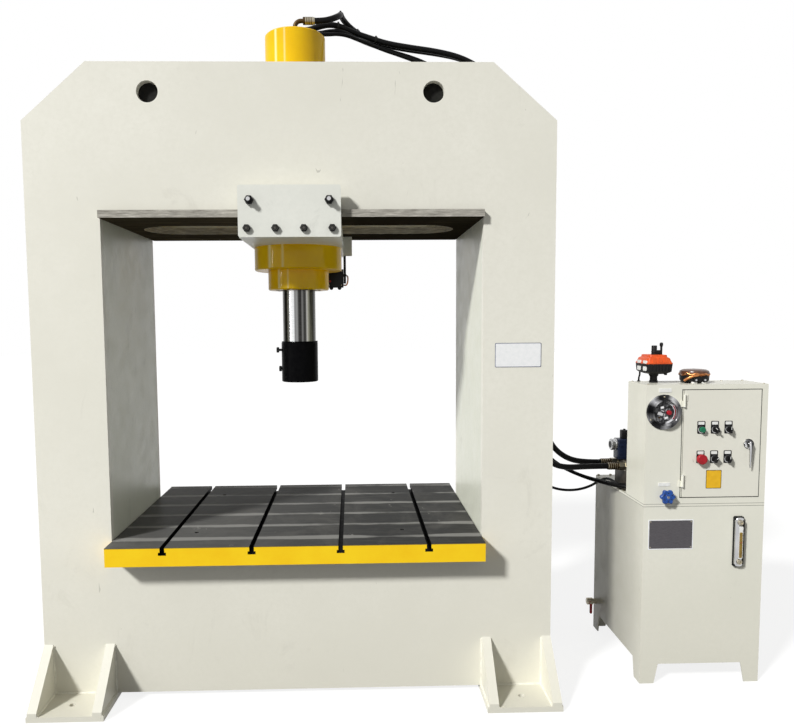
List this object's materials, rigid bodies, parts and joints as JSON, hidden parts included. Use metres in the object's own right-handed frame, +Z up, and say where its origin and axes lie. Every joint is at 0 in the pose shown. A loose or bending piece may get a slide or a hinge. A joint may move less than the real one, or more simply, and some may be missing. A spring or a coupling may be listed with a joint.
{
  "type": "gantry hydraulic press",
  "caption": "Welded gantry hydraulic press with a cylinder rolling along its crossbeam, a T-slotted table and a separate hydraulic power station joined by hoses.",
  "frame": {"origin": "on the floor, in the middle of the four anchor holes of the press frame", "axes": "+X along the crossbeam towards the power station, +Y from front to back, +Z up"},
  "size_m": [2.867, 1.073, 2.8076],
  "materials": {
    "cream_paint": "satin",
    "yellow_paint": "gloss",
    "bare_steel": "brushed",
    "chrome": "polished",
    "black_steel": "satin",
    "zinc": "satin",
    "rubber": "matte",
    "black_plastic": "matte",
    "orange_plastic": "satin",
    "green_plastic": "satin",
    "red_plastic": "satin",
    "blue_plastic": "satin",
    "navy_coil": "matte",
    "grey_paint": "satin",
    "cast_iron": "matte",
    "copper_brown": "satin",
    "clear_window": "clear"
  },
  "bodies": {
    "frame": {"front_plate": "cream_paint", "rear_plate": "cream_paint", "side_plates": "cream_paint", "top_plate": "cream_paint", "column_inner_plates": "cream_paint", "beam_slide_plate": "bare_steel", "beam_webs": "cream_paint", "beam_ribs": "cream_paint", "base_top_plate": "cream_paint", "base_bottom_plate": "cream_paint", "feet": "cream_paint", "table": "bare_steel", "oil_tank": "cream_paint", "tank_legs": "cream_paint", "tank_lid": "cream_paint", "motor_pump_unit": "grey_paint", "valve_manifold": "cast_iron", "solenoid_valve": "navy_coil", "hose_fittings": "zinc", "control_box": "cream_paint", "electrical_plate": "grey_paint", "pressure_gauge": "chrome", "gauge_valve": "zinc", "level_gauge": "chrome", "switch_unit": "orange_plastic", "coil_unit": "copper_brown", "hose_cap": "rubber", "hose_rod": "rubber", "hose_pilot": "rubber", "conduit_switch": "rubber", "cable_column": "rubber"},
    "carriage": {"carriage_plate": "cream_paint", "hanger_plates": "cream_paint", "hanger_bolts": "black_steel", "roller_studs": "black_steel", "limit_switch": "black_plastic", "cylinder_barrel": "yellow_paint", "cylinder_gland": "yellow_paint", "cylinder_cap": "yellow_paint", "port_elbows": "zinc"},
    "ram": {"ram_rod": "chrome", "piston": "cast_iron", "tool_holder": "black_steel", "clamp_screws": "black_steel"},
    "door_leaf": {"door": "cream_paint", "button_housings": "black_plastic"},
    "roller_front_left_body": {"roller_front_left": "bare_steel"},
    "roller_front_right_body": {"roller_front_right": "bare_steel"},
    "roller_rear_left_body": {"roller_rear_left": "bare_steel"},
    "roller_rear_right_body": {"roller_rear_right": "bare_steel"},
    "start_button_body": {"start_button": "green_plastic"},
    "stop_button_body": {"stop_button": "red_plastic"},
    "selector_1_body": {"selector_1": "black_plastic"},
    "selector_2_body": {"selector_2": "black_plastic"},
    "selector_3_body": {"selector_3": "black_plastic"},
    "selector_4_body": {"selector_4": "black_plastic"},
    "lock_handle_body": {"lock_handle": "chrome"},
    "gauge_needle_body": {"gauge_needle": "black_plastic"},
    "handwheel_body": {"handwheel": "blue_plastic"},
    "drain_lever_body": {"drain_lever": "red_plastic"}
  },
  "joints": [
    {"name": "carriage_traverse", "type": "slide", "parent": "frame", "child": "carriage", "axis": [1, 0, 0], "range_m": [-0.465, 0.495], "deforming": ["hose_cap", "hose_rod", "hose_pilot", "conduit_switch"]},
    {"name": "ram_slide", "type": "slide", "parent": "carriage", "child": "ram", "axis": [0, 0, 1], "range_m": [-0.385, 0.215]},
    {"name": "roller_front_left_spin", "type": "hinge", "parent": "carriage", "child": "roller_front_left_body", "pos_m": [-0.155, -0.363, 1.924], "axis": [0, 1, 0], "range_deg": [-1100, 1100]},
    {"name": "roller_rear_left_spin", "type": "hinge", "parent": "carriage", "child": "roller_rear_left_body", "pos_m": [-0.155, 0.363, 1.924], "axis": [0, 1, 0], "range_deg": [-1100, 1100]},
    {"name": "roller_front_right_spin", "type": "hinge", "parent": "carriage", "child": "roller_front_right_body", "pos_m": [0.139, -0.363, 1.924], "axis": [0, 1, 0], "range_deg": [-1100, 1100]},
    {"name": "roller_rear_right_spin", "type": "hinge", "parent": "carriage", "child": "roller_rear_right_body", "pos_m": [0.139, 0.363, 1.924], "axis": [0, 1, 0], "range_deg": [-1100, 1100]},
    {"name": "door_hinge", "type": "hinge", "parent": "frame", "child": "door_leaf", "pos_m": [1.525, -0.335, 0.984], "axis": [0, 0, -1], "range_deg": [0, 110]},
    {"name": "lock_turn", "type": "hinge", "parent": "door_leaf", "child": "lock_handle_body", "pos_m": [1.788, -0.33, 0.982], "axis": [0, -1, 0], "range_deg": [0, 90]},
    {"name": "start_push", "type": "slide", "parent": "door_leaf", "child": "start_button_body", "axis": [0, 1, 0], "range_m": [0, 0.004], "stiffness_N_per_m": 500},
    {"name": "stop_push", "type": "slide", "parent": "door_leaf", "child": "stop_button_body", "axis": [0, 1, 0], "range_m": [0, 0.004], "stiffness_N_per_m": 500},
    {"name": "handwheel_turn", "type": "hinge", "parent": "frame", "child": "handwheel_body", "pos_m": [1.459, -0.335, 0.777], "axis": [0, -1, 0], "continuous": true},
    {"name": "needle_turn", "type": "hinge", "parent": "frame", "child": "gauge_needle_body", "pos_m": [1.445, -0.34, 1.112], "axis": [0, 1, 0], "range_deg": [0, 270]},
    {"name": "drain_turn", "type": "hinge", "parent": "frame", "child": "drain_lever_body", "pos_m": [1.345, 0.172, 0.135], "axis": [0, 1, 0], "range_deg": [0, 90]},
    {"name": "selector_1_turn", "type": "hinge", "parent": "door_leaf", "child": "selector_1_body", "pos_m": [1.6505, -0.335, 1.042], "axis": [0, -1, 0], "range_deg": [-90, 0]},
    {"name": "selector_2_turn", "type": "hinge", "parent": "door_leaf", "child": "selector_2_body", "pos_m": [1.705, -0.335, 1.042], "axis": [0, -1, 0], "range_deg": [-45, 45]},
    {"name": "selector_3_turn", "type": "hinge", "parent": "door_leaf", "child": "selector_3_body", "pos_m": [1.6505, -0.335, 0.924], "axis": [0, -1, 0], "range_deg": [0, 90]},
    {"name": "selector_4_turn", "type": "hinge", "parent": "door_leaf", "child": "selector_4_body", "pos_m": [1.705, -0.335, 0.924], "axis": [0, -1, 0], "range_deg": [-45, 45]}
  ],
  "couplings": [
    {"joint": "roller_front_left_spin", "follows": "carriage_traverse", "rad_per_m": 36.101},
    {"joint": "roller_rear_left_spin", "follows": "carriage_traverse", "rad_per_m": 36.101},
    {"joint": "roller_front_right_spin", "follows": "carriage_traverse", "rad_per_m": 36.101},
    {"joint": "roller_rear_right_spin", "follows": "carriage_traverse", "rad_per_m": 36.101}
  ]
}
